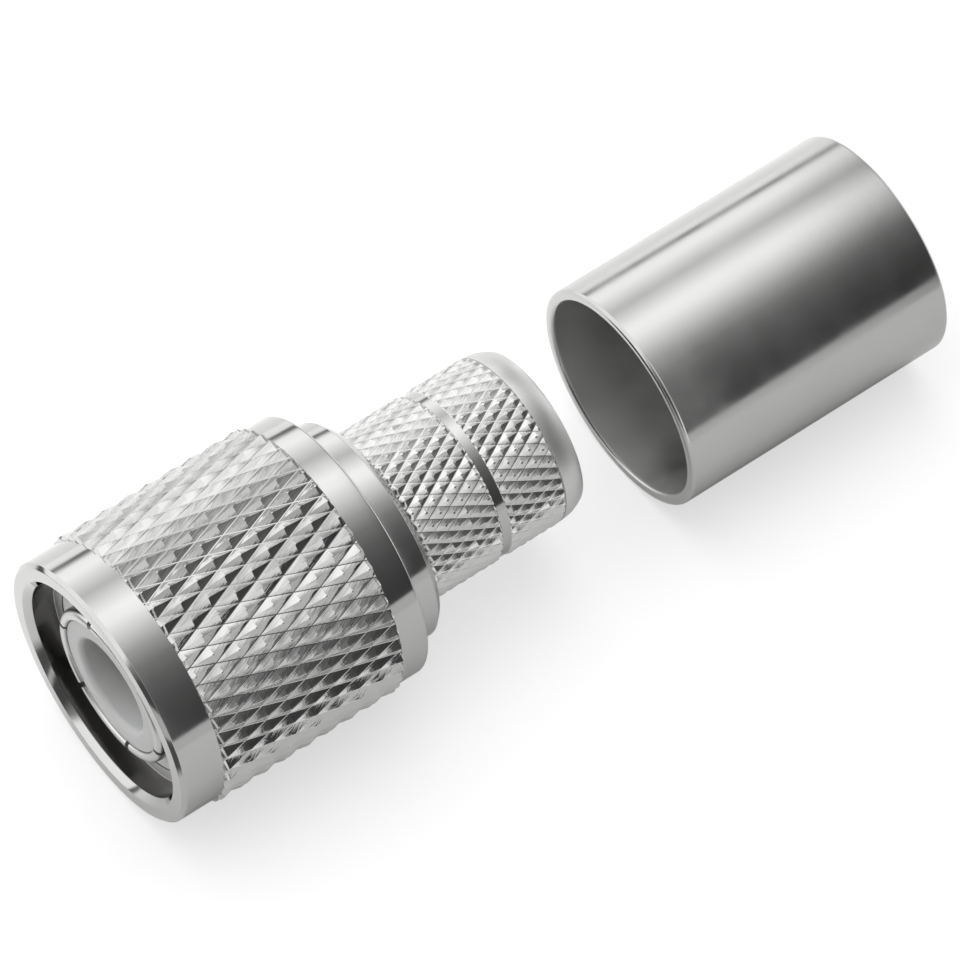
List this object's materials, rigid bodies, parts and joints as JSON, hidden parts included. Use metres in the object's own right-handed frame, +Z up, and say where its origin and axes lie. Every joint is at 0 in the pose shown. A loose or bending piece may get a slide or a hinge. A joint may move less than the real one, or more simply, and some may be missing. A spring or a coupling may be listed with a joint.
{
  "type": "tnc connector",
  "caption": "Threaded coaxial crimp plug: knurled coupling nut, slotted outer contact, white insulator and knurled crimp stem, beside its loose crimp ferrule.",
  "frame": {"origin": "on the surface the pieces lie on, under the middle of the row of plug and ferrule", "axes": "+X along the plug's axis towards the cable end and the ferrule, +Z up"},
  "size_m": [0.0444, 0.0142, 0.0141],
  "materials": {
    "nut_plate": "bright nickel plating on turned and knurled brass",
    "body_plate": "bright nickel plating on turned and knurled brass",
    "contact_plate": "bright nickel plating on slotted spring brass",
    "white_insulator": "machined white fluoropolymer",
    "gasket_rubber": "moulded light grey silicone",
    "ring_spring": "stamped spring bronze",
    "ferrule_plate": "nickel plating on drawn tube"
  },
  "bodies": {
    "plug": {"plug_body": "body_plate", "outer_contact": "contact_plate", "insulator": "white_insulator", "sealing_gasket": "gasket_rubber", "retaining_ring": "ring_spring"},
    "nut": {"coupling_nut": "nut_plate"},
    "ferrule": {"crimp_ferrule": "ferrule_plate"}
  },
  "joints": [
    {"name": "nut_turn", "type": "hinge", "parent": "plug", "child": "nut", "pos_m": [0, 0, 0.00705], "axis": [1, 0, 0], "continuous": true},
    {"name": "ferrule_slide", "type": "slide", "parent": "plug", "child": "ferrule", "axis": [-0.9953, 0.0346, 0.0902], "range_m": [0, 0.01387]}
  ]
}
